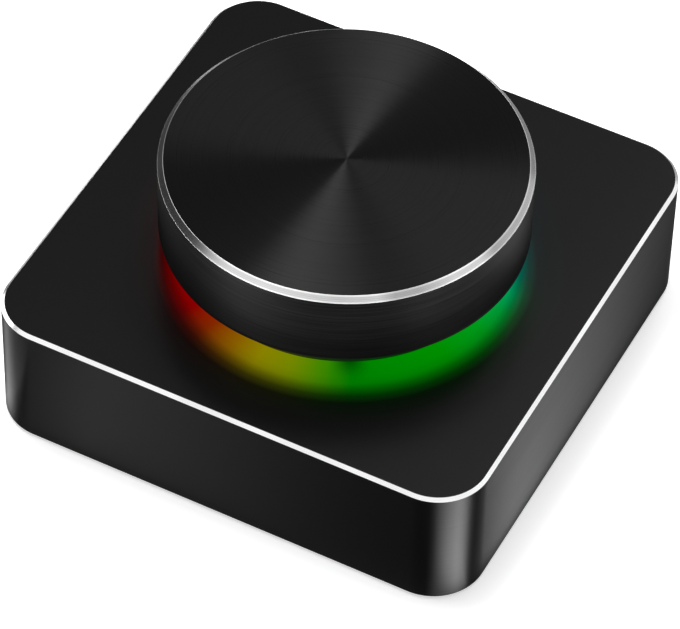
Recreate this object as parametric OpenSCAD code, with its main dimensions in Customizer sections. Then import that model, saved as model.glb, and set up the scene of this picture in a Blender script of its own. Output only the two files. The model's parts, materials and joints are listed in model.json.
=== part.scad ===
// Wireless desktop volume controller. A square aluminium housing carries a large knob that turns
// without end and clicks when it is pressed. A light ring glows under the knob, and a radio board
// with a rechargeable cell sits inside. Millimetres, +Z up. The origin is the middle of the grip
// pad's underside, and +Y points to the rear, where the charging socket and the mode switch are.

/* [Housing] */
// Side of the square housing
body_w = 60; // [58:0.5:70]
// Radius of the housing's upright corners
body_corner_r = 6.2; // [5:0.1:8]
// Height of the housing from its lower rim to its deck
housing_h = 16.7; // [16.4:0.1:22]
// Thickness of the side walls
wall_t = 2.2; // [1.9:0.1:2.8]
// Thickness of the deck
deck_t = 2.4; // [2:0.1:3]
// Leg of the bright chamfer round the deck
deck_chamfer = 0.42; // [0.2:0.02:0.8]
// Metal round each corner screw
boss_wall = 2; // [1.6:0.1:2.6]
// Gap between a corner boss's round and the walls it grows from
boss_inset = 1.4; // [1:0.1:2]

/* [Knob] */
// Diameter of the knob
knob_d = 42.1; // [40:0.1:46]
// Height of the knob
knob_h = 9.9; // [9.2:0.1:14]
// Leg of the bright chamfer round the knob's face
knob_chamfer = 0.63; // [0.3:0.01:1]
// Leg of the small chamfer at the knob's lower edge
knob_foot_chamfer = 0.2; // [0.1:0.05:0.5]
// Clear height between the deck and the knob
knob_gap = 3; // [2.4:0.1:4]
// Thickness of the knob's side
knob_wall_t = 2.4; // [1.6:0.1:3]
// Thickness of the knob's face
knob_face_t = 2.6; // [1.8:0.1:3]
// Thickness of the hub's plate
hub_plate_t = 2.8; // [2:0.1:3]
// Thickness of the hub's wall round the shaft
hub_boss_wall = 2; // [1.4:0.1:3]
// Depth of the hub's skirt below its plate
hub_skirt_h = 2.6; // [1.5:0.1:3]
// Thickness of the hub's skirt and ribs
hub_rib_t = 1.4; // [1:0.1:2]
// Number of ribs under the hub's plate
hub_rib_count = 6; // [3:1:9]
// Depth of the hub's ribs below its plate
hub_rib_h = 1.4; // [0.8:0.1:2]
// Thickness of the spring clip round the hub's boss
clip_t = 0.5; // [0.3:0.1:0.8]
// Height of the spring clip
clip_h = 1.4; // [0.8:0.1:1.6]
// How far the knob goes down when it is pressed
press_travel = 0.5; // [0.3:0.05:0.8]

/* [Light ring] */
// How far the light ring stands back from the knob's side
light_inset = 2.55; // [2:0.05:3.5]
// Width of the light guide's flange under the deck
light_flange_w = 2; // [1.2:0.1:2.6]
// Thickness of the flange
light_flange_t = 1.2; // [1:0.1:1.6]
// Wall on each side of the channel for the lamps
light_wall_t = 0.8; // [0.6:0.1:1.2]
// Thickness of the web that closes the deck's opening
web_t = 1; // [0.8:0.1:1.4]
// Depth of the web's face below the deck
web_drop = 0.2; // [0.1:0.1:0.6]
// Number of lamps in the ring
led_count = 12; // [8:1:16]
// Length and width of a lamp
led_w = 2; // [1.6:0.1:2.4]
// Height of a lamp
led_h = 0.8; // [0.5:0.1:1]
// Thickness of the lamp board
led_board_t = 1; // [0.8:0.1:1.2]
// Radius of the lamp board's central opening
led_board_hole_r = 9.3; // [9:0.1:9.6]
// Diameter of the lamp board's screws
led_screw_d = 1.4; // [1.2:0.1:1.7]

/* [Underside] */
// Thickness of the bottom cover
cover_t = 2; // [1.8:0.1:2.4]
// Thickness of the housing's rim round the bottom cover
rim_t = 1.2; // [0.8:0.1:1.4]
// Thickness of the grip pad
pad_t = 1; // [0.8:0.1:1.2]
// How far the grip pad stands below the cover
pad_proud = 0.4; // [0.3:0.05:0.6]
// Distance from the housing's side to the grip pad
pad_inset = 5; // [4:0.1:8]
// Radius of the grip pad's corners
pad_corner_r = 5; // [3:0.1:8]
// Clear space between the grip pad and a screw's head
pad_screw_gap = 1.3; // [0.8:0.1:2]
// Diameter of the corner screws
cover_screw_d = 2; // [1.8:0.1:2.5]
// Diameter of a corner screw's head
cover_screw_head_d = 3.8; // [3.4:0.1:4.4]
// Length of the corner screws
cover_screw_l = 6; // [5:0.5:9]
// Radius of the posts that carry the main board
post_r = 2.2; // [1.8:0.1:2.6]

/* [Encoder] */
// Diameter of the encoder's shaft
shaft_d = 6; // [5.6:0.1:6.2]
// Depth of the flat on the shaft
shaft_flat = 1.5; // [1:0.1:1.8]
// Outside diameter of the threaded bushing
bushing_d = 7.4; // [7.2:0.1:8]
// Height of the bushing above the encoder's plate
bushing_h = 4.6; // [4:0.1:5]
// Width of the encoder across its legs' sides
encoder_w = 11.7; // [11.2:0.1:12]
// Depth of the encoder from front to back
encoder_d = 12; // [11.6:0.1:12.4]
// Height of the encoder from the board to its mounting face
encoder_h = 6.5; // [6.4:0.1:7]
// Thickness of the encoder's metal plate
plate_t = 1; // [0.8:0.1:1.1]
// Number of detents in a turn
detent_count = 20; // [12:1:30]
// Width of the bushing's nut across its flats
nut_w = 10; // [9.5:0.1:11]
// Height of the nut
nut_h = 2; // [1.6:0.1:2.2]
// Thickness of the washer
washer_t = 0.5; // [0.3:0.1:0.7]

/* [Electronics] */
// Thickness of the main board
board_t = 1.2; // [1:0.1:1.6]
// Distance from the board's middle to its posts, front to back
post_y = 15; // [12:0.5:17]
// Distance of the posts from the board's sides
post_inset = 5; // [4:0.1:5.5]
// Diameter of the screws that hold the main board
board_screw_d = 1.7; // [1.5:0.1:2]
// Length of the screws that hold the main board
board_screw_l = 4.6; // [3.6:0.2:5.4]
// Width of the cell
battery_w = 30; // [24:0.5:32]
// Length of the cell
battery_l = 37; // [30:0.5:40]
// Thickness of the cell
battery_t = 3; // [2.4:0.1:4]
// Width of the charging socket
usb_w = 8.94; // [8.7:0.02:9.2]
// Height of the charging socket
usb_h = 3.16; // [3.1:0.02:3.3]
// Length of the charging socket
usb_l = 7.35; // [6.8:0.05:7.6]
// Thickness of the socket's steel shell
usb_shell_t = 0.3; // [0.2:0.02:0.4]
// How far the socket's mouth lies inside the rear face
usb_recess = 0.6; // [0.3:0.1:1]
// Shift of the mode switch from the middle of the stretch between the socket and the corner
switch_shift = 0.6; // [-1:0.1:1.5]
// Travel of the mode switch to each side of its middle position
switch_travel = 2; // [1.5:0.1:2.2]
// Width of the switch's button
button_w = 4; // [3.4:0.1:4.4]
// Height of the switch's button
button_h = 2.2; // [1.8:0.1:2.4]
// Depth of the pocket round the switch's button
pocket_depth = 0.8; // [0.5:0.1:1]

/* [Clearances] */
// Gap round a piece that is seated in another
seat_clear = 0.1; // [0.05:0.01:0.2]
// Radial gap of a turning or sliding shaft
run_clear = 0.05; // [0.02:0.01:0.08]
// Gap between pieces that pass each other
pass_clear = 0.3; // [0.2:0.02:0.4]
// Gap round a solder pin in its hole
pin_clear = 0.15; // [0.1:0.01:0.25]

/* [Hidden] */
$fn = 72;
// How far a cut runs past the face it opens, and how far joined shapes reach into each other
cut = 0.5;

// Heights of the housing's faces
z_rim = pad_proud;
z_cover = z_rim + cover_t;
z_deck = z_rim + housing_h;
z_deck_under = z_deck - deck_t;

// Plan of the housing
cavity_w = body_w - 2 * wall_t;
cavity_r = body_corner_r - wall_t;
rebate_w = body_w - 2 * rim_t;
rebate_r = body_corner_r - rim_t;
boss_r = cover_screw_d / 2 + boss_wall;
boss_at = cavity_w / 2 - boss_inset - boss_r;
y_wall = cavity_w / 2;
y_rear = body_w / 2;

// Knob, press travel and light ring
knob_r = knob_d / 2;
z_knob = z_deck + knob_gap;
z_knob_face = z_knob + knob_h;
z_knob_ceiling = z_knob_face - knob_face_t;
knob_cavity_r = knob_r - knob_wall_t;
light_r = knob_r - light_inset;
z_light_top = z_knob - press_travel - pass_clear;
light_bevel = 0.4;
led_board_margin = 0.5;
led_channel_half = led_w / 2 + pass_clear;
led_r = light_r - light_wall_t - led_channel_half;
light_in_r = led_r - led_channel_half - light_wall_t;
light_flange_r = light_r + light_flange_w;
z_led_board = z_deck_under - light_flange_t;
z_led_channel = z_led_board + led_h + pass_clear;
led_board_r = light_flange_r + led_board_margin;
z_led_board_under = z_led_board - led_board_t;
led_turn = 15;

// Encoder, from its mounting face downwards
z_mount = z_deck - web_drop - web_t;
z_web = z_mount + web_t;
z_board = z_mount - encoder_h;
z_board_under = z_board - board_t;
shaft_r = shaft_d / 2;
bushing_r = bushing_d / 2;
z_bushing_top = z_mount + bushing_h;
z_plate = z_mount - plate_t;
plunger_t = 0.9;
well_floor_t = 0.5;
well_spare = 0.2;
plunger_gap = 0.03;
thin_gap = 0.1;
encoder_base_h = well_floor_t + well_spare + press_travel + plunger_t + thin_gap;
z_encoder_body = z_board + encoder_base_h;
z_plunger = z_board + well_floor_t + well_spare + press_travel;
z_shaft_low = z_plunger + plunger_t + plunger_gap;
well_r = 2.7;
plunger_r = well_r - run_clear;
plunger_key_w = 1;
plunger_key_reach = 3.6;
dome_t = 0.12;
dome_inset = 0.3;
dome_h = z_plunger - z_board - well_floor_t - run_clear;
drive_r = 2.4;
drive_flat = 1.9;
shaft_flange_w = 0.6;
shaft_flange_r = shaft_r + shaft_flange_w;
shaft_flange_t = 0.5;
z_shaft_flange = z_plate - thin_gap - shaft_flange_t;
encoder_well_r = 5.2;
rotor_r = encoder_well_r - pass_clear;
rotor_t = 1.1;
tooth_h = 0.3;
tooth_w = 0.7;
tooth_l = 0.9;
z_rotor = z_encoder_body + thin_gap;
detent_t = 0.25;
detent_in_r = shaft_flange_r + pass_clear;
finger_r = 0.4;
finger_at = rotor_r - tooth_l / 2;
z_finger = z_rotor + rotor_t + tooth_h + thin_gap;
leg_t = 0.5;
leg_w = 4;
lug_w = 2;
leg_x = encoder_w / 2 + run_clear;
pin_w = 0.8;
pin_t = 0.4;
pin_proud = 0.7;
pin_pitch = 2.5;
pin_reach = 1.2;
pin_y = encoder_d / 2 + pin_reach - pin_t / 2;
washer_margin = 0.6;
washer_r = nut_w / 2 + washer_margin;

// Knob hub on the shaft
hub_lift = 0.4;
z_hub = z_bushing_top + press_travel + hub_lift;
z_hub_plate = z_knob_ceiling - hub_plate_t;
shaft_short = 0.6;
z_shaft_top = z_knob_ceiling - shaft_short;
hub_r = knob_cavity_r - seat_clear;
hub_boss_r = shaft_r + hub_boss_wall;
shaft_seat = 0.03;
hub_rib_from = hub_boss_r + seat_clear + clip_t + pass_clear;
clip_gap = 2;
clip_lift = 0.3;

// Mode switch behind the rear wall
switch_case_w = 8.4;
switch_case_d = 3.2;
switch_case_h = 2.9;
lever_w = 1.6;
lever_h = 1;
lever_root = 1.3;
lever_bite = 0.4;
lever_hole_w = lever_w + 2 * run_clear;
lever_hole_h = lever_h + 2 * run_clear;
switch_x = (usb_w / 2 + boss_at - boss_r) / 2 + switch_shift;
skirt_t = 0.7;
skirt_margin_x = 1.2;
skirt_margin_z = 0.7;
skirt_w = button_w + 2 * skirt_margin_x;
skirt_h = button_h + 2 * skirt_margin_z;
y_skirt = y_wall - pass_clear - skirt_t;
y_switch = y_skirt - pass_clear;
y_button = y_rear - thin_gap;
y_lever_end = y_wall + lever_bite;
slot_w = button_w + 2 * switch_travel + 2 * pass_clear;
slot_h = button_h + 2 * pass_clear;
pocket_margin_x = 1.6;
pocket_margin_z = 1.2;
pocket_w = slot_w + 2 * pocket_margin_x;
pocket_h = slot_h + 2 * pocket_margin_z;
button_rib = 0.4;

// Main board, which ends clear of the switch's skirt, and what stands on it
board_w = 2 * (y_skirt - pass_clear);
board_r = 3;
post_x = board_w / 2 - post_inset;
board_hole_clear = 0.25;
board_hole_r = board_screw_d / 2 + board_hole_clear;
board_screw_head_w = 0.9;
board_screw_head_r = board_screw_d / 2 + board_screw_head_w;
board_screw_head_h = 1;
header_count = 4;
header_pitch = 2.54;
header_pin_w = 0.64;
header_w = 2.5;
header_l = header_count * header_pitch;
header_h = z_led_board_under - z_board;
header_y = led_board_hole_r + header_w;
header_hole_r = header_pin_w / sqrt(2) + run_clear;
radio_at = [-15, 9];
radio_size = [6, 6, 0.9];
charger_at = [15, 9];
charger_size = [4.9, 3.9, 1.3];
crystal_at = [-15, 2.5];
crystal_size = [3.2, 2.5, 0.7];
antenna_edge = 2;
antenna_y = -4;
antenna_at = [antenna_edge - board_w / 2, antenna_y];
antenna_size = [1.6, 7, 1.2];
capacitor_count = 5;
capacitor_at = [19.5, 3.5];
capacitor_pitch = 2.4;
capacitor_size = [1.6, 0.8, 0.8];
z_usb = z_board + usb_h / 2;
usb_mouth_y = y_rear - usb_recess;
usb_back_y = usb_mouth_y - usb_l;
port_clear = 0.25;
usb_tongue_w = 6.7;
usb_tongue_t = 0.7;
usb_tongue_l = 4.5;
usb_plug_l = 2;
contact_count = 12;
contact_pitch = 0.5;
contact_w = 0.26;
contact_t = 0.06;
contact_l = 3.4;

// Lamp board fixings inside the light guide
led_post_wall = 1.1;
led_post_r = led_screw_d / 2 + led_post_wall;
led_post_at = (led_board_hole_r + light_in_r) / 2;
led_post_turns = [90, 210, 330];
led_screw_head_w = 0.7;
led_screw_head_r = led_screw_d / 2 + led_screw_head_w;
led_screw_head_h = 0.9;
led_screw_bite = 1.8;

// Underside
cover_w = rebate_w - 2 * seat_clear;
cover_r = rebate_r - seat_clear;
pad_w = body_w - 2 * pad_inset;
pad_seat = pad_t - pad_proud;
screw_sink = 0.1;
countersink_spare = 0.3;
cover_screw_head_h = (cover_screw_head_d - cover_screw_d) / 2 + countersink_spare;
cross_w = 0.6;
cross_rim = 0.75;
cross_l = cover_screw_head_d - 2 * cross_rim;
cross_depth = 0.7;

// Cell, its tape and its leads
tape_t = 0.3;
tape_inset = 3;
battery_y = 1.5;
battery_round = 1.2;
z_battery = z_cover + tape_t;
guard_t = 0.9;
guard_h = 2.6;
guard_inset = 2;
y_guard = battery_y - battery_l / 2;
lead_d = 1.1;
lead_gap = 1.8;
lead_x = -8;
socket_w = 5.6;
socket_h = 3;
socket_l = 4.6;
socket_wall = 0.5;
socket_back = 1;
socket_edge = 1;
socket_x = 6;
socket_y = -(board_w / 2 - socket_w / 2 - socket_edge);
z_socket = z_board_under - socket_h;
plug_l = 4.8;
plug_w = socket_w - 2 * socket_wall - 2 * run_clear;
plug_h = socket_h - 2 * socket_wall - 2 * run_clear;
plug_in = socket_l - socket_back;
plug_end_x = socket_x - plug_l + plug_in;
z_lead_plug = z_socket + socket_h / 2;
z_lead_guard = z_battery + guard_h / 2;
lead_out = 4;
lead_in = 8;
lead_steps = 14;
lead_sides = 8;

// Shared shapes

// Square with round corners, flat
module rounded_square(w, r) {
    square([w - 2 * r, w], center = true);
    square([w, w - 2 * r], center = true);
    for (x = [-1, 1], y = [-1, 1])
        translate([x * (w / 2 - r), y * (w / 2 - r)])
            circle(r);
}

// Slab with upright round corners
module rounded_slab(w, r, z, h) {
    translate([0, 0, z])
        linear_extrude(h)
            rounded_square(w, r);
}

// Slab with upright round corners and a chamfer round its top
module chamfered_slab(w, r, z, h, c) {
    side = [[-w / 2, 0], [w / 2, 0], [w / 2 - c, c], [c - w / 2, c]];
    rounded_slab(w, r, z, h - c);
    translate([0, 0, z + h - c]) {
        for (turn = [0, 90])
            rotate(turn)
                rotate([90, 0, 90])
                    linear_extrude(w - 2 * r, center = true)
                        polygon(side);
        for (turn = [0:90:270])
            rotate(turn)
                translate([w / 2 - r, w / 2 - r, 0])
                    cylinder(h = c, r1 = r, r2 = r - c);
    }
}

// Oblong with half-round ends, flat
module oblong(w, h) {
    square([w - h, h], center = true);
    for (x = [-1, 1])
        translate([x * (w - h) / 2, 0])
            circle(h / 2);
}

// Oblong that runs towards the rear, from y for a length l
module rear_oblong(w, h, x, y, z, l) {
    translate([x, y, z])
        rotate([-90, 0, 0])
            linear_extrude(l)
                oblong(w, h);
}

// Box given by its middle in plan, its foot and its size
module block(x, y, z, size) {
    translate([x - size[0] / 2, y - size[1] / 2, z])
        cube(size);
}

// Box that stands on the main board
module part_on_board(at, size) {
    block(at[0], at[1], z_board, size);
}

// Flat ring
module ring(r_out, r_in, z, h) {
    translate([0, 0, z])
        difference() {
            cylinder(r = r_out, h = h);
            translate([0, 0, -cut])
                cylinder(r = r_in, h = h + 2 * cut);
        }
}

// Round bar with one flat, which faces +X
module flatted_bar(r, flat, z, h) {
    translate([0, 0, z])
        difference() {
            cylinder(r = r, h = h);
            translate([flat, -r, -cut])
                cube([r, 2 * r, h + 2 * cut]);
        }
}

// Round bar with two flats
module double_flat_bar(r, flat, z, h) {
    translate([0, 0, z])
        intersection() {
            cylinder(r = r, h = h);
            translate([-flat, -r, 0])
                cube([2 * flat, 2 * r, h]);
        }
}

// Children at the four corner screws
module at_corner_screws() {
    for (turn = [0:90:270])
        rotate(turn)
            translate([boss_at, boss_at, 0])
                children();
}

// Children at the four posts of the main board
module at_posts() {
    for (x = [-1, 1], y = [-1, 1])
        translate([x * post_x, y * post_y, 0])
            children();
}

// Children at the lamp board's screws
module at_led_posts() {
    for (turn = led_post_turns)
        rotate(turn)
            translate([led_post_at, 0, 0])
                children();
}

// Children at the header's pins
module at_header_pins() {
    for (i = [0:header_count - 1])
        translate([(i - (header_count - 1) / 2) * header_pitch, -header_y, 0])
            children();
}

// Children at the encoder's solder pins: three in front and two behind
module at_encoder_pins() {
    for (i = [-1, 0, 1])
        translate([i * pin_pitch, -pin_y, 0])
            children();
    for (i = [-1, 1])
        translate([i * pin_pitch, pin_y, 0])
            rotate(180)
                children();
}

// Corner blocks of the housing in plan, grown all round
module corner_block_outline(grow) {
    reach = body_w / 2;
    for (turn = [0:90:270])
        rotate(turn)
            translate([boss_at, boss_at]) {
                circle(boss_r + grow);
                translate([-boss_r - grow, 0])
                    square(reach);
                translate([0, -boss_r - grow])
                    square(reach);
            }
}

// Grip pad in plan: a rounded square that leaves the corner screws clear
module pad_outline(grow) {
    difference() {
        rounded_square(pad_w + 2 * grow, pad_corner_r + grow);
        for (turn = [0:90:270])
            rotate(turn)
                translate([boss_at, boss_at])
                    circle(cover_screw_head_d / 2 + pad_screw_gap - grow);
    }
}

// Housing and underside

module top_housing() {
    color("#1c1c1e")
        difference() {
            chamfered_slab(body_w, body_corner_r, z_rim, housing_h, deck_chamfer);
            rounded_slab(rebate_w, rebate_r, z_rim - cut, cover_t + cut);
            translate([0, 0, z_cover - cut])
                linear_extrude(z_deck_under - z_cover + cut)
                    difference() {
                        rounded_square(cavity_w, cavity_r);
                        corner_block_outline(0);
                    }
            translate([0, 0, z_deck_under - cut])
                cylinder(r = light_r + seat_clear, h = deck_t + 2 * cut);
            at_corner_screws()
                translate([0, 0, z_cover - cut])
                    cylinder(d = cover_screw_d + 2 * run_clear, h = cover_screw_l + cut);
            rear_oblong(usb_w + 2 * port_clear, usb_h + 2 * port_clear,
                        0, y_wall - cut, z_usb, wall_t + 2 * cut);
            rear_oblong(pocket_w, pocket_h, switch_x, y_rear - pocket_depth, z_usb, pocket_depth + cut);
            translate([switch_x - slot_w / 2, y_wall - cut, z_usb - slot_h / 2])
                cube([slot_w, wall_t + 2 * cut, slot_h]);
        }
}

module bottom_cover() {
    color("#18181a")
        difference() {
            union() {
                rounded_slab(cover_w, cover_r, z_rim, cover_t);
                at_posts()
                    translate([0, 0, z_cover - cut])
                        cylinder(r = post_r, h = z_board_under - z_cover + cut);
            }
            translate([0, 0, z_rim - cut])
                linear_extrude(pad_seat + cut)
                    pad_outline(seat_clear);
            at_corner_screws() {
                translate([0, 0, z_rim - cut])
                    cylinder(d = cover_screw_d + 2 * seat_clear, h = cover_t + 2 * cut);
                translate([0, 0, z_rim + screw_sink])
                    cylinder(h = cover_screw_head_h, d1 = cover_screw_head_d + 2 * seat_clear,
                             d2 = cover_screw_d + 2 * seat_clear);
                translate([0, 0, z_rim - cut])
                    cylinder(d = cover_screw_head_d + 2 * seat_clear, h = screw_sink + cut);
            }
            at_posts()
                translate([0, 0, z_cover])
                    cylinder(d = board_screw_d + 2 * run_clear, h = z_board_under - z_cover + cut);
        }
}

module grip_pad() {
    color("#101011")
        linear_extrude(pad_t)
            pad_outline(0);
}

module cover_screws() {
    color("#3a3a3d")
        at_corner_screws()
            translate([0, 0, z_rim + screw_sink])
                difference() {
                    union() {
                        cylinder(h = cover_screw_head_h, d1 = cover_screw_head_d, d2 = cover_screw_d);
                        cylinder(d = cover_screw_d, h = cover_screw_l);
                    }
                    for (turn = [0, 90])
                        rotate(turn)
                            block(0, 0, -cut, [cross_l, cross_w, cross_depth + cut]);
                }
}

// Knob

module knob_cap() {
    color("#161617")
        rotate_extrude()
            polygon([
                [knob_cavity_r, z_knob],
                [knob_r - knob_foot_chamfer, z_knob],
                [knob_r, z_knob + knob_foot_chamfer],
                [knob_r, z_knob_face - knob_chamfer],
                [knob_r - knob_chamfer, z_knob_face],
                [0, z_knob_face],
                [0, z_knob_ceiling],
                [knob_cavity_r, z_knob_ceiling],
            ]);
}

module knob_hub() {
    color("#2a2a2c")
        difference() {
            union() {
                translate([0, 0, z_hub_plate])
                    cylinder(r = hub_r, h = hub_plate_t);
                ring(hub_r, hub_r - hub_rib_t, z_hub_plate - hub_skirt_h, hub_skirt_h + cut);
                translate([0, 0, z_hub])
                    cylinder(r = hub_boss_r, h = z_hub_plate - z_hub + cut);
                for (i = [0:hub_rib_count - 1])
                    rotate(i * 360 / hub_rib_count)
                        translate([hub_rib_from, -hub_rib_t / 2, z_hub_plate - hub_rib_h])
                            cube([hub_r - hub_rib_t / 2 - hub_rib_from, hub_rib_t, hub_rib_h + cut]);
            }
            flatted_bar(shaft_r + shaft_seat, shaft_r - shaft_flat + shaft_seat,
                        z_hub - cut, z_shaft_top + seat_clear - z_hub + cut);
        }
}

module hub_spring_clip() {
    color("#b9bbbf")
        difference() {
            ring(hub_boss_r + seat_clear + clip_t, hub_boss_r + seat_clear, z_hub + clip_lift, clip_h);
            translate([0, -clip_gap / 2, z_hub + clip_lift - cut])
                cube([hub_boss_r + clip_t + 1, clip_gap, clip_h + 2 * cut]);
        }
}

// Encoder

module encoder_shaft() {
    color("#c8c9cc") {
        double_flat_bar(drive_r, drive_flat, z_shaft_low, z_shaft_flange - z_shaft_low + cut);
        translate([0, 0, z_shaft_flange])
            cylinder(r = shaft_flange_r, h = shaft_flange_t);
        translate([0, 0, z_shaft_flange])
            cylinder(r = shaft_r, h = z_hub - z_shaft_flange);
        flatted_bar(shaft_r, shaft_r - shaft_flat, z_hub - cut, z_shaft_top - z_hub + cut);
    }
}

module encoder_rotor() {
    color("#e8e2d0")
        difference() {
            translate([0, 0, z_rotor])
                cylinder(r = rotor_r, h = rotor_t + tooth_h);
            double_flat_bar(drive_r + run_clear, drive_flat + run_clear,
                            z_rotor - cut, rotor_t + tooth_h + 2 * cut);
            for (i = [0:detent_count - 1])
                rotate(i * 360 / detent_count)
                    translate([rotor_r - tooth_l, -tooth_w / 2, z_rotor + rotor_t])
                        cube([tooth_l + cut, tooth_w, tooth_h + cut]);
        }
}

module push_plunger() {
    color("#d9d4c4") {
        translate([0, 0, z_plunger])
            cylinder(r = plunger_r, h = plunger_t);
        block(0, 0, z_plunger, [2 * plunger_key_reach, plunger_key_w, plunger_t]);
    }
}

// The dome's section is a slice of a thin spherical shell that stands on the well's floor
module snap_dome() {
    span = well_r - dome_inset;
    sphere_r = (span * span + dome_h * dome_h) / (2 * dome_h);
    floor_z = z_board + well_floor_t;
    color("#d6d7d9")
        intersection() {
            translate([0, 0, floor_z + dome_h - sphere_r])
                difference() {
                    sphere(sphere_r);
                    sphere(sphere_r - dome_t);
                }
            translate([0, 0, floor_z])
                cylinder(r = span + 1, h = dome_h + 1);
        }
}

module detent_spring() {
    color("#c9b27a") {
        ring(encoder_well_r - thin_gap, detent_in_r, z_plate - detent_t, detent_t);
        for (turn = [90, 270])
            rotate(turn)
                translate([finger_at, 0, z_finger])
                    cylinder(r = finger_r, h = z_plate - z_finger);
    }
}

module encoder_base() {
    color("#22301f")
        difference() {
            block(0, 0, z_board, [encoder_w, encoder_d, encoder_base_h]);
            translate([0, 0, z_board + well_floor_t])
                cylinder(r = well_r, h = encoder_base_h);
            block(0, 0, z_board + well_floor_t,
                  [2 * plunger_key_reach + 2 * pass_clear, plunger_key_w + 2 * run_clear, encoder_base_h]);
        }
}

module encoder_body() {
    color("#2b3a28")
        difference() {
            block(0, 0, z_encoder_body, [encoder_w, encoder_d, z_plate - z_encoder_body]);
            translate([0, 0, z_encoder_body - cut])
                cylinder(r = encoder_well_r, h = z_plate - z_encoder_body + 2 * cut);
        }
}

module encoder_bracket() {
    color("#b4b6ba")
        difference() {
            union() {
                block(0, 0, z_plate, [encoder_w + 2 * run_clear + 2 * leg_t, encoder_d, plate_t]);
                translate([0, 0, z_plate])
                    cylinder(r = bushing_r, h = z_bushing_top - z_plate);
                for (side = [-1, 1]) {
                    block(side * (leg_x + leg_t / 2), 0, z_board, [leg_t, leg_w, z_mount - z_board]);
                    block(side * (leg_x + leg_t / 2), 0, z_board_under - pin_proud,
                          [leg_t, lug_w, board_t + pin_proud + cut]);
                }
            }
            translate([0, 0, z_plate - cut])
                cylinder(r = shaft_r + run_clear, h = z_bushing_top - z_plate + 2 * cut);
        }
}

// Each pin leaves the base level, then turns down through the board
module encoder_terminals() {
    color("#cfc9a8")
        at_encoder_pins() {
            block(0, 0, z_board_under - pin_proud, [pin_w, pin_t, board_t + pin_proud + pin_w]);
            translate([-pin_w / 2, -pin_t / 2, z_board + pin_w - pin_t])
                cube([pin_w, pin_reach, pin_t]);
        }
}

module encoder_washer() {
    color("#b9bbbf")
        ring(washer_r, bushing_r + run_clear, z_web, washer_t);
}

module encoder_nut() {
    color("#b9bbbf")
        translate([0, 0, z_web + washer_t])
            difference() {
                cylinder(r = nut_w / sqrt(3), h = nut_h, $fn = 6);
                translate([0, 0, -cut])
                    cylinder(r = bushing_r + run_clear, h = nut_h + 2 * cut);
            }
}

// Light ring

module light_guide() {
    color("#e9edf0", 0.6)
        difference() {
            union() {
                rotate_extrude()
                    polygon([
                        [bushing_r + seat_clear, z_mount],
                        [light_in_r, z_mount],
                        [light_in_r, z_led_board],
                        [led_r - led_channel_half, z_led_board],
                        [led_r - led_channel_half, z_led_channel],
                        [led_r + led_channel_half, z_led_channel],
                        [led_r + led_channel_half, z_led_board],
                        [light_flange_r, z_led_board],
                        [light_flange_r, z_deck_under],
                        [light_r, z_deck_under],
                        [light_r, z_light_top - light_bevel],
                        [light_r - light_bevel, z_light_top],
                        [light_in_r, z_light_top],
                        [light_in_r, z_web],
                        [bushing_r + seat_clear, z_web],
                    ]);
                at_led_posts()
                    translate([0, 0, z_led_board])
                        cylinder(r = led_post_r, h = z_mount - z_led_board + cut);
            }
            at_led_posts()
                translate([0, 0, z_led_board - cut])
                    cylinder(d = led_screw_d + 2 * run_clear, h = led_screw_bite + run_clear + cut);
        }
}

// The cut at the rear keeps a wider board clear of the charging socket
module led_board() {
    color("#1f5136")
        difference() {
            ring(led_board_r, led_board_hole_r, z_led_board_under, led_board_t);
            at_led_posts()
                translate([0, 0, z_led_board_under - cut])
                    cylinder(d = led_screw_d + 2 * seat_clear, h = led_board_t + 2 * cut);
            at_header_pins()
                translate([0, 0, z_led_board_under - cut])
                    cylinder(r = header_hole_r, h = led_board_t + 2 * cut);
            translate([-usb_w / 2 - pass_clear, usb_back_y - pass_clear, z_led_board_under - cut])
                cube([usb_w + 2 * pass_clear, usb_l, led_board_t + 2 * cut]);
        }
}

module ring_leds() {
    color("#f2f2ea")
        for (i = [0:led_count - 1])
            rotate(led_turn + i * 360 / led_count)
                block(led_r, 0, z_led_board, [led_w, led_w, led_h]);
}

module led_board_screws() {
    color("#8c8f94")
        at_led_posts() {
            translate([0, 0, z_led_board_under - led_screw_head_h])
                cylinder(r = led_screw_head_r, h = led_screw_head_h);
            translate([0, 0, z_led_board_under - cut])
                cylinder(d = led_screw_d, h = led_board_t + led_screw_bite + cut);
        }
}

module header_body() {
    color("#141415")
        difference() {
            block(0, -header_y, z_board, [header_l, header_w, header_h]);
            at_header_pins()
                translate([0, 0, z_board - cut])
                    cylinder(r = header_hole_r, h = header_h + 2 * cut);
        }
}

module header_pins() {
    color("#d9b85a")
        at_header_pins()
            block(0, 0, z_board_under - pin_proud,
                  [header_pin_w, header_pin_w, z_led_board - z_board_under + 2 * pin_proud]);
}

// Main board

module main_board() {
    color("#1b3f2c")
        difference() {
            translate([0, 0, z_board_under])
                linear_extrude(board_t)
                    difference() {
                        rounded_square(board_w, board_r);
                        corner_block_outline(pass_clear);
                    }
            at_posts()
                translate([0, 0, z_board_under - cut])
                    cylinder(r = board_hole_r, h = board_t + 2 * cut);
            at_header_pins()
                translate([0, 0, z_board_under - cut])
                    cylinder(r = header_hole_r, h = board_t + 2 * cut);
            at_encoder_pins()
                translate([0, 0, z_board_under - cut])
                    cylinder(r = pin_w / 2 + pin_clear, h = board_t + 2 * cut);
            for (side = [-1, 1])
                block(side * (leg_x + leg_t / 2), 0, z_board_under - cut,
                      [leg_t + 2 * pin_clear, lug_w + 2 * pin_clear, board_t + 2 * cut]);
        }
}

module board_screws() {
    color("#8c8f94")
        at_posts() {
            translate([0, 0, z_board])
                cylinder(r = board_screw_head_r, h = board_screw_head_h);
            translate([0, 0, z_board - board_screw_l])
                cylinder(d = board_screw_d, h = board_screw_l + cut);
        }
}

module radio_chip() {
    color("#19191b")
        part_on_board(radio_at, radio_size);
}

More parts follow.
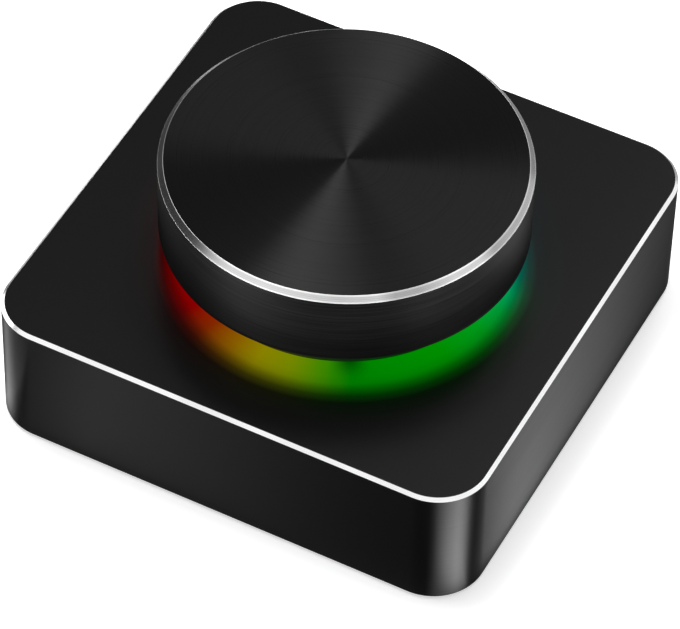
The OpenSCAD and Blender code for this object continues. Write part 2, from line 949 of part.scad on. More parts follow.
module charger_chip() {
    color("#19191b")
        part_on_board(charger_at, charger_size);
}

module crystal() {
    color("#c3c5c9")
        part_on_board(crystal_at, crystal_size);
}

module chip_antenna() {
    color("#e6e6e2")
        part_on_board(antenna_at, antenna_size);
}

// Two rows of small capacitors beside the chips
module capacitors() {
    color("#b79a6b")
        for (side = [-1, 1], i = [0:capacitor_count - 1])
            part_on_board([side * capacitor_at[0], capacitor_at[1] - i * capacitor_pitch], capacitor_size);
}

// Charging socket

module usb_shell() {
    color("#c9cbcf")
        difference() {
            rear_oblong(usb_w, usb_h, 0, usb_back_y, z_usb, usb_l);
            rear_oblong(usb_w - 2 * usb_shell_t, usb_h - 2 * usb_shell_t,
                        0, usb_back_y - cut, z_usb, usb_l + 2 * cut);
        }
}

module usb_tongue() {
    color("#161617") {
        rear_oblong(usb_w - 2 * usb_shell_t - 2 * run_clear, usb_h - 2 * usb_shell_t - 2 * run_clear,
                    0, usb_back_y, z_usb, usb_plug_l);
        translate([-usb_tongue_w / 2, usb_back_y, z_usb - usb_tongue_t / 2])
            cube([usb_tongue_w, usb_plug_l + usb_tongue_l, usb_tongue_t]);
    }
}

module usb_contacts() {
    color("#d9b85a")
        for (i = [0:contact_count - 1], side = [0, 1])
            mirror([0, 0, side])
                translate([(i - (contact_count - 1) / 2) * contact_pitch - contact_w / 2,
                           usb_back_y + usb_plug_l,
                           usb_tongue_t / 2 + (1 - 2 * side) * z_usb])
                    cube([contact_w, contact_l, contact_t]);
}

// Mode switch

module switch_case() {
    color("#a9abaf")
        difference() {
            block(switch_x, y_switch - switch_case_d / 2, z_board,
                  [switch_case_w, switch_case_d, switch_case_h]);
            translate([switch_x - lever_w / 2 - switch_travel - pass_clear,
                       y_switch - lever_root - pass_clear,
                       z_usb - lever_h / 2 - seat_clear])
                cube([lever_w + 2 * switch_travel + 2 * pass_clear,
                      lever_root + pass_clear + cut,
                      lever_h + 2 * seat_clear]);
        }
}

module switch_lever() {
    color("#141415")
        translate([switch_x - lever_w / 2, y_switch - lever_root, z_usb - lever_h / 2])
            cube([lever_w, y_lever_end - y_switch + lever_root, lever_h]);
}

module switch_button() {
    color("#222224")
        difference() {
            union() {
                translate([switch_x - skirt_w / 2, y_skirt, z_usb - skirt_h / 2])
                    cube([skirt_w, skirt_t, skirt_h]);
                translate([switch_x - button_w / 2, y_skirt, z_usb - button_h / 2])
                    cube([button_w, y_button - y_skirt, button_h]);
            }
            translate([switch_x - lever_hole_w / 2, y_skirt - cut, z_usb - lever_hole_h / 2])
                cube([lever_hole_w, y_lever_end + run_clear - y_skirt + cut, lever_hole_h]);
            for (i = [-1, 0, 1])
                translate([switch_x + (2 * i - 0.5) * button_rib, y_button - button_rib, z_usb - button_h])
                    cube([button_rib, button_rib + cut, 2 * button_h]);
        }
}

// Cell and its leads

module battery_cell() {
    color("#b9bdc2")
        translate([0, battery_y, z_battery])
            linear_extrude(battery_t) {
                square([battery_w - 2 * battery_round, battery_l], center = true);
                square([battery_w, battery_l - 2 * battery_round], center = true);
                for (x = [-1, 1], y = [-1, 1])
                    translate([x * (battery_w / 2 - battery_round), y * (battery_l / 2 - battery_round)])
                        circle(battery_round);
            }
}

module battery_tape() {
    color("#e4e1d6")
        block(0, battery_y, z_cover, [battery_w - 2 * tape_inset, battery_l - 2 * tape_inset, tape_t]);
}

module battery_guard_board() {
    color("#b58a2c")
        translate([guard_inset - battery_w / 2, y_guard - guard_t, z_battery])
            cube([battery_w - 2 * guard_inset, guard_t, guard_h]);
}

module battery_socket() {
    color("#e9e7df")
        difference() {
            translate([socket_x, socket_y - socket_w / 2, z_socket])
                cube([socket_l, socket_w, socket_h]);
            translate([socket_x - cut, socket_y - socket_w / 2 + socket_wall, z_socket + socket_wall])
                cube([plug_in + run_clear + cut, socket_w - 2 * socket_wall, socket_h - 2 * socket_wall]);
        }
}

module battery_plug() {
    color("#f1efe8")
        translate([plug_end_x, socket_y - plug_w / 2, z_lead_plug - plug_h / 2])
            cube([plug_l, plug_w, plug_h]);
}

// Point and direction on a curve with four control points
function curve_point(p, t) =
    pow(1 - t, 3) * p[0] + 3 * t * pow(1 - t, 2) * p[1] + 3 * t * t * (1 - t) * p[2] + pow(t, 3) * p[3];
function curve_way(p, t) =
    pow(1 - t, 2) * (p[1] - p[0]) + 2 * t * (1 - t) * (p[2] - p[1]) + t * t * (p[3] - p[2]);
function unit(v) = v / norm(v);

// One ring of points round the lead's line
function lead_ring(p, t, r) =
    let (way = unit(curve_way(p, t)))
    let (side = unit(cross(way, [0, 0, 1])))
    let (up = cross(side, way))
    [for (j = [0:lead_sides - 1])
        let (a = j * 360 / lead_sides)
        curve_point(p, t) + r * (cos(a) * side + sin(a) * up)];

// Insulated lead along a curve with four control points
module lead(p, d) {
    points = [for (i = [0:lead_steps]) each lead_ring(p, i / lead_steps, d / 2)];
    last = lead_steps * lead_sides;
    sides = [for (i = [0:lead_steps - 1], j = [0:lead_sides - 1])
        let (a = i * lead_sides + j)
        let (b = i * lead_sides + (j + 1) % lead_sides)
        each [[a, b, b + lead_sides], [a, b + lead_sides, a + lead_sides]]];
    ends = [for (j = [1:lead_sides - 2])
        each [[0, j + 1, j], [last, last + j, last + j + 1]]];
    polyhedron(points = points, faces = concat(sides, ends));
}

// A lead runs from the guard board's front face into the plug's end
module battery_lead(place) {
    start = [lead_x + place * lead_gap, y_guard - guard_t, z_lead_guard];
    end = [plug_end_x, socket_y + place * lead_gap / 2, z_lead_plug];
    lead([start, start - [0, lead_out, 0], end - [lead_in, 0, 0], end], lead_d);
}

module battery_lead_red() {
    color("#b3261e")
        battery_lead(-1);
}

module battery_lead_black() {
    color("#1a1a1b")
        battery_lead(1);
}

top_housing();
bottom_cover();
grip_pad();
cover_screws();
knob_cap();
knob_hub();
hub_spring_clip();
encoder_shaft();
encoder_rotor();
push_plunger();
snap_dome();
detent_spring();
encoder_base();
encoder_body();
encoder_bracket();
encoder_terminals();
encoder_washer();
encoder_nut();
light_guide();
led_board();
ring_leds();
led_board_screws();
header_body();
header_pins();
main_board();
board_screws();
radio_chip();
charger_chip();
crystal();
chip_antenna();
capacitors();
usb_shell();
usb_tongue();
usb_contacts();
switch_case();
switch_lever();
switch_button();
battery_cell();
battery_tape();
battery_guard_board();
battery_socket();
battery_plug();
battery_lead_red();
battery_lead_black();
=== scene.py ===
import json
import math
import bmesh
import bpy
from mathutils import Matrix, Vector


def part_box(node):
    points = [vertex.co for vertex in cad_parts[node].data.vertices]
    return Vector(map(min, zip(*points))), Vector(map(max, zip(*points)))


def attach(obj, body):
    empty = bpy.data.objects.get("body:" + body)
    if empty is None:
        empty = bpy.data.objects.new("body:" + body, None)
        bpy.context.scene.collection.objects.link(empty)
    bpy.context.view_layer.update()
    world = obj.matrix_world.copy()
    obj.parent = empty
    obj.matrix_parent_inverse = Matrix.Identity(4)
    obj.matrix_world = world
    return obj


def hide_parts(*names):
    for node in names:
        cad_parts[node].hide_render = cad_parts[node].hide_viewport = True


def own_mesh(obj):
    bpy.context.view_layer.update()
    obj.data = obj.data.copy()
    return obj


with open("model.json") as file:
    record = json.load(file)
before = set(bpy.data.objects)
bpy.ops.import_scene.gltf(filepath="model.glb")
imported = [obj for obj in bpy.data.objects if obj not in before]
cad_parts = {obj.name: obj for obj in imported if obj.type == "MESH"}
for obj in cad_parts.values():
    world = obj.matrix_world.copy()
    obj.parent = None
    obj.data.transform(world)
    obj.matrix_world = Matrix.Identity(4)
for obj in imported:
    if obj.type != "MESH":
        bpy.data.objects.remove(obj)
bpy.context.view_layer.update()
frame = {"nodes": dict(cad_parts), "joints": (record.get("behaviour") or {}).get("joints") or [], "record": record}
nodes = frame["nodes"]
mm = 0.001
tiny = 1e-6  # what counts as level, in metres
mergeGap = 1e-7  # points closer than this are one point
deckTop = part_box("top_housing")[1].z
print("frame:", len(nodes), "nodes")


class Wire:  # a shader socket that takes part in sums
    def __init__(self, tree, socket=None):
        self.tree, self.socket = tree, socket

    def node(self, kind, settings=None, inputs=None, out=0):  # any node: settings first, then sockets
        made = self.tree.nodes.new(kind)
        for name, value in (settings or {}).items():
            if name == "stops":
                marks = made.color_ramp.elements
                while len(marks) < len(value):
                    marks.new(0.5)
                for mark, (place, colour) in zip(marks, value):
                    mark.position, mark.color = place, (*colour, 1)
            else:
                setattr(made, name, value)
        for name, value in (inputs or {}).items():
            if isinstance(value, Wire):
                self.tree.links.new(value.socket, made.inputs[name])
            else:
                made.inputs[name].default_value = value
        return Wire(self.tree, made.outputs[out])

    def other(self, out):  # another output of the same node
        return Wire(self.tree, self.socket.node.outputs[out])

    def maths(self, operation, *parts):
        return self.node("ShaderNodeMath", {"operation": operation}, dict(enumerate(parts)))

    def __add__(self, other):
        return self.maths("ADD", self, other)

    def __sub__(self, other):
        return self.maths("SUBTRACT", self, other)

    def __rsub__(self, other):
        return self.maths("SUBTRACT", other, self)

    def __mul__(self, other):
        return self.maths("MULTIPLY", self, other)

    def __truediv__(self, other):
        return self.maths("DIVIDE", self, other)

    __radd__, __rmul__ = __add__, __mul__


def stretched(here, scale):
    return here.node("ShaderNodeVectorMath", {"operation": "MULTIPLY"}, {0: here, 1: scale})


def noise(here, scale, detail=2.0):
    return here.node("ShaderNodeTexNoise", None, {"Vector": here, "Scale": scale, "Detail": detail})


def noiseAlong(value, scale, detail=2.0):  # noise that changes along one number only
    return value.node("ShaderNodeTexNoise", {"noise_dimensions": "1D"},
                      {"W": value, "Scale": scale, "Detail": detail})


def fade(value, start, end, low=0.0, high=1.0):
    return value.node("ShaderNodeMapRange", {"interpolation_type": "SMOOTHSTEP"},
                      {"Value": value, "From Min": start, "From Max": end, "To Min": low, "To Max": high})


def mixed(factor, first, second):  # sockets 6 and 7 and output 2 are the ones for colours
    return factor.node("ShaderNodeMix", {"data_type": "RGBA"}, {0: factor, 6: first, 7: second}, out=2)


def tinted(colour, amount):  # a colour times a number
    return amount.node("ShaderNodeVectorMath", {"operation": "SCALE"}, {0: colour, "Scale": amount})


def grey(tone):
    return tone.node("ShaderNodeCombineXYZ", None, {0: tone, 1: tone, 2: tone})


def ramp(value, stops):
    return value.node("ShaderNodeValToRGB", {"stops": stops}, {"Fac": value})


def rampAlong(value, places):  # a number that follows a list of places and amounts
    first, last = places[0][0], places[-1][0]
    top = max(amount for _, amount in places)
    stops = [((place - first) / (last - first), (amount / top,) * 3) for place, amount in places]
    return ramp((value - first) / (last - first), stops) * top


def bump(height, depth, strength):
    return height.node("ShaderNodeBump", None, {"Height": height, "Distance": depth, "Strength": strength})


def axisRadius(here):  # distance from the knob's axis, in millimetres
    flat = stretched(here, (1 / mm, 1 / mm, 0))
    return here.node("ShaderNodeVectorMath", {"operation": "LENGTH"}, {0: flat}, out="Value")


def turnAround(here):  # angle about the knob's axis in degrees: 0 at +X, 90 at +Y
    x = here.node("ShaderNodeSeparateXYZ", None, {0: here})
    return here.maths("ARCTAN2", x.other("Y"), x) * math.degrees(1)


def evenGrey(tone):
    return tone, tone, tone, 1


def newFinish(name, sockets):  # a material with its even sockets set, and the point it is asked about
    finish = bpy.data.materials.new(name)
    finish.use_nodes = True
    shader = finish.node_tree.nodes["Principled BSDF"]
    for socket, value in sockets.items():
        shader.inputs[socket].default_value = value
    return finish, Wire(finish.node_tree).node("ShaderNodeTexCoord", out="Object")


def feed(finish, sockets):  # what changes over the surface
    shader = finish.node_tree.nodes["Principled BSDF"]
    for socket, wire in sockets.items():
        finish.node_tree.links.new(wire.socket, shader.inputs[socket])
    return finish


# The photo's camera
cameraView = {
    "azimuth": 26.347, "elevation": 48.231, "roll": 1.644, "distance": 0.53739,
    "focalPixels": 4754.3, "imageSize": (680, 629), "sensorWidth": 36, "clip": (0.02, 30),
    "aimPixel": (344.40, 237.63), "aimHeight": deckTop,  # where the deck's middle is in the picture
}


def placeCamera(view):
    turn, rise, roll = (math.radians(view[name]) for name in ("azimuth", "elevation", "roll"))
    back = Vector((math.sin(turn) * math.cos(rise), -math.cos(turn) * math.cos(rise), math.sin(rise)))
    level = Vector((math.cos(turn), math.sin(turn), 0))
    upright = back.cross(level)
    right = level * math.cos(roll) + upright * math.sin(roll)
    up = upright * math.cos(roll) - level * math.sin(roll)
    perPixel = view["distance"] / view["focalPixels"]
    offset = [view["aimPixel"][i] - view["imageSize"][i] / 2 for i in (0, 1)]
    spot = (Vector((0, 0, view["aimHeight"])) + back * view["distance"]
            - right * (offset[0] * perPixel) + up * (offset[1] * perPixel))
    lens = bpy.data.cameras.new("photoCamera")
    lens.sensor_fit, lens.sensor_width = "HORIZONTAL", view["sensorWidth"]
    lens.lens = view["sensorWidth"] * view["focalPixels"] / view["imageSize"][0]
    lens.clip_start, lens.clip_end = view["clip"]
    camera = bpy.data.objects.new("photoCamera", lens)
    camera.matrix_world = Matrix.Translation(spot) @ Matrix((right, up, back)).transposed().to_4x4()
    bpy.context.collection.objects.link(camera)
    bpy.context.scene.camera = camera


placeCamera(cameraView)
print("camera placed")

# Room: white floor, even sky that is dim at the left, soft lamps, cards
room = {
    "floorSize": 4.0, "floorDrop": 0.02,  # in metres, and in millimetres
    "floorColour": 0.8, "floorLift": 0.5, "cardTone": 0.02,
    "skyLight": 0.55, "dimSide": (-0.98, 0.2, 0.0), "dimFrom": 0.5, "dimTo": 0.72, "dimSky": 0.05,
    "lamps": {  # azimuth and elevation in degrees, distance, width and height in metres, watts
        "overheadLamp": (166, 77, 0.7, 0.36, 0.15, 3.3),
        "overheadFill": (83, 80, 0.7, 0.20, 0.30, 0.6),
        "backLamp": (94, 55, 0.8, 0.12, 0.30, 1.0),
    },
    # Cards that only the metal sees, with even light: two corners in millimetres, light
    "evenCards": {
        "leftCard": ((-62, -12, 0), (-62, 75, 32), 0.1),
        "edgeCard": ((-52, -44, 15), (-52, -16, 30), 2.0),
        "frontCornerCard": ((31, -40, 0.3), (100, -26.5, 0.3), 7.5),
        "farRightCard": ((170, -120, 0), (170, 60, 40), 7.0),
        "rearRightCard": ((-60, 66, 0.2), (120, 199, 0.2), 0.3),
        "farRearCard": ((-20, 200, 0), (110, 200, 50), 0.4),
    },
    # The same with light that changes: two corners, the way along which it changes,
    # and places on that way with their light
    "gradedCards": {
        "leftFloorCard": ((-60, -27, 0.1), (-30.3, 66, 0.1), (0, 1), [
            (-24, 0.12), (-8, 0.4), (8, 2.0), (24, 3.5), (38, 2.5), (45, 0.2)]),
        "rearFloorCard": ((-42, 31, 0.2), (30.3, 66, 0.2), (1, 0), [
            (-40, 1.5), (-24, 4.0), (-6, 2.6), (12, 1.3), (28, 0.6)]),
        "cornerCard": ((-60, -35, 0.3), (-30.3, -27, 0.3), (0, 1), [
            (-35, 13.0), (-31, 10.0), (-29, 6.5), (-27, 4.0)]),
        "farFrontCard": ((-220, -190, 0), (140, -190, 40), (1, 0), [
            (-220, 2.0), (-150, 9.0), (-110, 13.0), (-50, 13.0), (-10, 8.0), (30, 5.0), (140, 5.0)]),
        "frontCard": ((-60, -110, 0.2), (31, -31.5, 0.2), (1, -0.49), [
            (-14, 0.1), (-8, 2.8), (-2, 5.5), (4, 4.5), (9, 3.8), (15, 2.8), (21, 1.8), (26, 1.0),
            (32, 0.35), (38, 0.05), (43, 0.02)]),
        "sideCard": ((30.6, -60, 0.2), (110, 150, 0.2), (-2.04, 1), [
            (-91, 1.0), (-87, 2.0), (-84, 10.0), (-78, 12.8), (-72, 9.6), (-67, 7.3), (-61, 5.5),
            (-55, 4.0), (-50, 2.8), (-44, 1.8), (-38, 1.1), (-34, 0.7), (-31, 0.4)]),
    },
}


def raySeen(wire):  # 1 for what the camera, metal and glass see of the room
    path = wire.node("ShaderNodeLightPath", out="Is Camera Ray")
    seen = path + path.other("Is Glossy Ray") + path.other("Is Transmission Ray")
    return seen.maths("MINIMUM", seen, 1.0)


def stagePlane(name, half, place, finish):
    bm = bmesh.new()
    bmesh.ops.create_grid(bm, x_segments=1, y_segments=1, size=half, matrix=place)
    mesh = bpy.data.meshes.new(name)
    bm.to_mesh(mesh)
    bm.free()
    mesh.materials.append(finish)
    plane = bpy.data.objects.new(name, mesh)
    bpy.context.collection.objects.link(plane)
    return plane


def mattPaper(name, tone, light):
    return newFinish(name, {"Base Color": evenGrey(tone), "Roughness": 0.9, "Specular IOR Level": 0.0,
                            "Emission Color": evenGrey(1), "Emission Strength": light})


def makeCard(name, low, high, finish):
    low, high = Vector(low) * mm, Vector(high) * mm
    half = (high - low) / 2
    if half.x == 0:  # a card that stands at one side
        spread = Matrix.Rotation(math.pi / 2, 4, "Y") @ Matrix.Diagonal((half.z, half.y, 1, 1))
    elif half.y == 0:  # a card that stands in front or behind
        spread = Matrix.Rotation(math.pi / 2, 4, "X") @ Matrix.Diagonal((half.x, half.z, 1, 1))
    else:
        spread = Matrix.Diagonal((half.x, half.y, 1, 1))
    card = stagePlane(name, 1, Matrix.Translation(low + half) @ spread, finish)
    card.visible_camera = card.visible_shadow = card.visible_diffuse = False


def gradedPaper(name, tone, slant, light):
    finish, here = mattPaper(name, tone, 1.0)
    along = here.node("ShaderNodeVectorMath", {"operation": "DOT_PRODUCT"},
                      {0: here, 1: (slant[0] / mm, slant[1] / mm, 0)}, out="Value")
    return feed(finish, {"Emission Color": grey(rampAlong(along, light))})


def makeFloorAndCards(room):
    finish, here = mattPaper("paleFloor", room["floorColour"], 1.0)
    feed(finish, {"Emission Color": grey(raySeen(here) * room["floorLift"])})
    stagePlane("floor", room["floorSize"] / 2, Matrix.Translation((0, 0, -room["floorDrop"] * mm)), finish)
    for name, (low, high, light) in room["evenCards"].items():
        makeCard(name, low, high, mattPaper(name, room["cardTone"], light)[0])
    for name, (low, high, slant, light) in room["gradedCards"].items():
        makeCard(name, low, high, gradedPaper(name, room["cardTone"], slant, light))


def makeSky(room):
    world = bpy.data.worlds.new("studio")
    world.use_nodes = True
    bpy.context.scene.world = world
    back = world.node_tree.nodes["Background"]
    start = Wire(world.node_tree)
    camera = start.node("ShaderNodeLightPath", out="Is Camera Ray")
    way = start.node("ShaderNodeTexCoord", out="Generated")
    side = start.node("ShaderNodeVectorMath", {"operation": "DOT_PRODUCT"},
                      {0: way, 1: room["dimSide"]}, out="Value")
    shown = side.maths("MAXIMUM", fade(side, room["dimFrom"], room["dimTo"], 1.0, room["dimSky"]), camera)
    strength = room["skyLight"] + raySeen(start) * (shown - room["skyLight"])
    world.node_tree.links.new(strength.socket, back.inputs["Strength"])
    back.inputs["Color"].default_value = evenGrey(1)


def makeLamps(room):
    for name, (turn, rise, distance, width, height, watts) in room["lamps"].items():
        turn, rise = math.radians(turn), math.radians(rise)
        way = Vector((math.cos(turn) * math.cos(rise), math.sin(turn) * math.cos(rise), math.sin(rise)))
        lamp = bpy.data.lights.new(name, "AREA")
        lamp.shape, lamp.size, lamp.size_y, lamp.energy = "RECTANGLE", width, height, watts
        holder = bpy.data.objects.new(name, lamp)
        holder.location = way * distance
        holder.rotation_euler = way.to_track_quat("Z", "Y").to_euler()
        holder.visible_camera = False
        bpy.context.collection.objects.link(holder)


makeFloorAndCards(room)
makeSky(room)
makeLamps(room)
bpy.context.scene.view_settings.view_transform = "Standard"
print("room set")

# Finishes of the metal
blackMetal = {
    "deckTone": 0.011, "deckRoughness": 0.26, "sideTone": 0.0055, "faceTone": 0.0105, "turnedTone": 0.012,
    "edgeTint": 0.46, "turnedEdgeTint": 0.65, "sideEdgeTint": 0.62, "grainPitch": 0.12,
    "cornerSheenTone": 0.06, "cornerCentre": 23.8,  # the rounded corners carry a painted sheen, brightest at each corner's diagonal
    "cornerFrom": 0.05, "cornerTo": 0.48,  # where that fades out, in radians off the diagonal
    "paintedLightFrom": 2.5, "paintedLightTo": 12.5,  # height over the deck over which the knob's side is painted brighter towards the top: painted shade low down, painted light higher up
    "paintedLightLow": 0.75, "paintedLightHigh": 1.5,
    "cutLow": 0.85, "cutHigh": 0.95,  # tones of the deck's cut edge
}
# The ring's light on the deck is painted into the deck's emission, a painted pool of light; the ring itself glows
# as a lamp
glowLight = {
    "lean": 3.25, "leanTo": -60,  # how far the light leans out, in millimetres, and to which side
    "seamAt": -60.6, "seamWidth": 7.6, "seamLight": 0.08,  # gap between the first lamp and the last
    "seamFrom": 16.8, "seamTo": 22.0,  # where the seam fades out, in millimetres from the centre
    "ringColour": (0.02, 0.021, 0.022), "ringLight": 1.3, "ringLamps": 12,  # the ring itself
    "ringSeam": 0.4,  # share of its light that the seam takes
    "lipFrom": 0.25, "lipTo": 0.7, "lipLight": 0.1,  # the ring's foot is painted dark in colour and light, as painted shade under the deck's lip
    "colours": [  # angle in degrees, colour
        (-180, (0.36, 0.00, 0.03)), (-154, (0.31, 0.00, 0.00)), (-120, (0.25, 0.00, 0.00)),
        (-110, (0.22, 0.02, 0.00)), (-100, (0.24, 0.10, 0.00)), (-90, (0.24, 0.21, 0.00)),
        (-80, (0.17, 0.23, 0.00)), (-71, (0.06, 0.23, 0.00)), (-66, (0.02, 0.22, 0.00)),
        (-61, (0.00, 0.21, 0.00)), (-30, (0.00, 0.26, 0.00)), (-14, (0.00, 0.31, 0.01)),
        (-4, (0.00, 0.34, 0.04)), (4, (0.00, 0.37, 0.11)), (12, (0.00, 0.24, 0.15)),
        (60, (0.00, 0.10, 0.30)), (95, (0.06, 0.03, 0.36)), (130, (0.22, 0.00, 0.30)),
        (160, (0.34, 0.00, 0.12)), (180, (0.36, 0.00, 0.03)),
    ],
    "reach": [  # millimetres from the centre, strength
        (15.0, 1.05), (17.6, 1.0), (18.6, 0.84), (19.5, 0.42), (20.4, 0.13), (21.4, 0.02),
        (22.8, 0.008), (25.0, 0.0),
    ],
}


def glowColour(turn):
    stops = [((angle + 180) / 360, colour) for angle, colour in glowLight["colours"]]
    return ramp((turn + 180) / 360, stops)


def seamDim(turn):  # dim in the seam, 1 off it
    off = turn.maths("ABSOLUTE", turn - glowLight["seamAt"])
    return fade(off, 0.0, glowLight["seamWidth"], glowLight["seamLight"], 1.0)


def makeDeckBlack():
    finish, here = newFinish("deckBlack", {
        "Metallic": 1.0, "Specular Tint": evenGrey(blackMetal["edgeTint"]), "Emission Strength": 1.0,
    })
    grain = noise(here, 1 / (blackMetal["grainPitch"] * mm), 2)
    cloud = noise(here, 60, 3)
    leanTo = math.radians(glowLight["leanTo"])
    ahead = here.node("ShaderNodeVectorMath", {"operation": "DOT_PRODUCT"},
                      {0: here, 1: (math.cos(leanTo) / mm, math.sin(leanTo) / mm, 0)}, out="Value")
    radius = axisRadius(here)
    reach = radius - glowLight["lean"] * here.maths("MAXIMUM", ahead / radius, 0.0)
    turn = turnAround(here)
    seam = 1 - (1 - seamDim(turn)) * fade(radius, glowLight["seamFrom"], glowLight["seamTo"], 1.0, 0.0)
    # painted light: the ring's glow on the deck, painted as emission by angle and distance from the centre
    strength = rampAlong(reach, glowLight["reach"]) * seam
    return feed(finish, {
        "Base Color": grey(blackMetal["deckTone"] * (0.85 + 0.2 * grain + 0.1 * cloud)),
        "Roughness": blackMetal["deckRoughness"] - 0.03 + 0.06 * grain,
        "Emission Color": tinted(glowColour(turn), strength),
        "Normal": bump(grain, 0.002 * mm, 0.5),
    })


def makeSideBlack():
    finish, here = newFinish("sideBlack", {
        "Metallic": 1.0, "Specular Tint": evenGrey(blackMetal["sideEdgeTint"]),
        "Anisotropic": 1.0, "Anisotropic Rotation": 0.25,
    })
    brush = noise(stretched(here, (80, 80, 9000)), 1, 3)
    grain = noise(here, 1 / (blackMetal["grainPitch"] * mm), 2)
    x = here.node("ShaderNodeSeparateXYZ", None, {0: here})
    across = [here.maths("ABSOLUTE", v) - blackMetal["cornerCentre"] * mm for v in (x, x.other("Y"))]
    offDiagonal = here.maths("ABSOLUTE", here.maths("ARCTAN2", across[1], across[0]) - math.pi / 4)
    # painted highlight: the rounded corners are painted lighter around each corner's diagonal
    paintedCornerSheen = fade(offDiagonal, blackMetal["cornerFrom"], blackMetal["cornerTo"], 1.0, 0.0)
    tone = blackMetal["sideTone"] + (blackMetal["cornerSheenTone"] - blackMetal["sideTone"]) * paintedCornerSheen
    return feed(finish, {
        "Base Color": grey(tone * (0.8 + 0.3 * brush + 0.1 * grain)),
        "Roughness": 0.38 + 0.08 * brush,
        "Normal": bump(brush, 0.002 * mm, 0.5),
    })


def makeDeckCut():
    finish, here = newFinish("deckCut", {"Metallic": 1.0, "Anisotropic": 0.4})
    lines = noiseAlong(axisRadius(here), 14, 2)
    patch = noise(here, 160, 2)
    low, high = blackMetal["cutLow"], blackMetal["cutHigh"]
    tone = low + (high - low) * (0.3 * lines + 0.7 * fade(patch, 0.35, 0.65))
    return feed(finish, {
        "Base Color": grey(tone),
        "Roughness": 0.14 + 0.1 * lines + 0.04 * patch,
    })


def makeSpunFace():
    finish, here = newFinish("spunFace", {
        "Metallic": 1.0, "Specular Tint": evenGrey(blackMetal["edgeTint"]),
        "Anisotropic": 1.0, "Anisotropic Rotation": 0.25,
    })
    radius = axisRadius(here)
    fine, broad = noiseAlong(radius, 7.0, 3), noiseAlong(radius, 1.1, 2)
    return feed(finish, {
        "Base Color": grey(blackMetal["faceTone"] * (0.78 + 0.34 * fine + 0.1 * broad)),
        "Roughness": 0.25 + 0.05 * fine + 0.015 * broad,
        "Normal": bump(fine, 0.002 * mm, 0.3),
    })


def makeTurnedSide():
    finish, here = newFinish("turnedSide", {
        "Metallic": 1.0, "Specular Tint": evenGrey(blackMetal["turnedEdgeTint"]),
        "Anisotropic": 0.6, "Anisotropic Rotation": 0.25,
    })
    lines = noise(stretched(here, (60, 60, 9000)), 1, 3)
    broad = noise(stretched(here, (30, 30, 1500)), 1, 2)
    z = here.node("ShaderNodeSeparateXYZ", None, {0: here}, out="Z")
    # painted light: the knob's side is painted darker low down and brighter towards its top
    paintedTopLight = fade(z, deckTop + blackMetal["paintedLightFrom"] * mm, deckTop + blackMetal["paintedLightTo"] * mm,
                   blackMetal["paintedLightLow"], blackMetal["paintedLightHigh"])
    streaks = 0.35 + 0.9 * fade(lines, 0.3, 0.7) + 0.4 * broad
    return feed(finish, {
        "Base Color": grey(blackMetal["turnedTone"] * paintedTopLight * streaks),
        "Roughness": 0.49 + 0.08 * lines + 0.04 * broad,
        "Normal": bump(lines, 0.003 * mm, 0.5),
    })


deckBlack, sideBlack, deckCut = makeDeckBlack(), makeSideBlack(), makeDeckCut()
spunFace, turnedSide = makeSpunFace(), makeTurnedSide()
print("metal finishes made")


def moulded(name, colour, roughness=0.45, pitch=0.25, depth=0.01, coat=0.0, spread=0.12):
    finish, here = newFinish(name, {"Coat Weight": coat, "Coat Roughness": 0.2})
    grain, cloud = noise(here, 1 / (pitch * mm), 2), noise(here, 90, 2)
    tone = (1 - spread) + spread * grain + spread * cloud
    return feed(finish, {
        "Base Color": tinted(colour, tone),
        "Roughness": (roughness - 0.06) + 0.1 * grain + 0.04 * cloud,
        "Normal": bump(grain, depth * mm, 0.6),
    })


def pressedMetal(name, colour, roughness=0.28, along=(300, 300, 6000)):
    finish, here = newFinish(name, {"Metallic": 1.0})
    lines, cloud = noise(stretched(here, along), 1, 3), noise(here, 150, 2)
    tone = 0.85 + 0.2 * lines + 0.08 * cloud
    return feed(finish, {
        "Base Color": tinted(colour, tone),
        "Roughness": (roughness - 0.05) + 0.12 * lines + 0.06 * cloud,
        "Normal": bump(lines, 0.002 * mm, 0.5),
    })


def boardMask(name, colour, copper):
    finish, here = newFinish(name, {"Coat Weight": 0.4, "Coat Roughness": 0.15})
    bricks = {"Vector": here, "Scale": 420.0, "Mortar Size": 0.03, "Mortar Smooth": 0.2}
    tracks = here.node("ShaderNodeTexBrick", None, bricks, out="Fac")
    some = fade(noise(here, 260, 1), 0.48, 0.54)
    track, grain = tracks * some, noise(here, 3000, 2)
    return feed(finish, {
        "Base Color": mixed(track * 0.7, tinted(colour, 0.85 + 0.3 * grain), (*copper, 1)),
        "Roughness": 0.36 + 0.1 * grain - 0.08 * track,
        "Normal": bump(track, 0.02 * mm, 0.6),
    })


def milkyLight(name):
    finish, here = newFinish(name, {"Roughness": 0.6, "Specular IOR Level": 0.1,
                                    "Emission Strength": glowLight["ringLight"],
                                    "Subsurface Weight": 0.2, "Subsurface Scale": 0.002})
    turn = turnAround(here)
    lamps = here.maths("COSINE", turn * math.radians(glowLight["ringLamps"]))
    haze = noise(here, 900, 2)
    z = here.node("ShaderNodeSeparateXYZ", None, {0: here}, out="Z")
    # painted shade: the ring's foot is painted dark under the deck's lip
    paintedFootShade = fade(z, deckTop + glowLight["lipFrom"] * mm, deckTop + glowLight["lipTo"] * mm,
                 glowLight["lipLight"], 1.0)
    seam = (1 - glowLight["ringSeam"]) + glowLight["ringSeam"] * seamDim(turn)
    return feed(finish, {
        "Base Color": tinted(glowLight["ringColour"], paintedFootShade * (0.92 + 0.1 * haze)),
        "Emission Color": tinted(glowColour(turn), paintedFootShade * (0.86 + 0.1 * lamps + 0.08 * haze) * seam),
    })


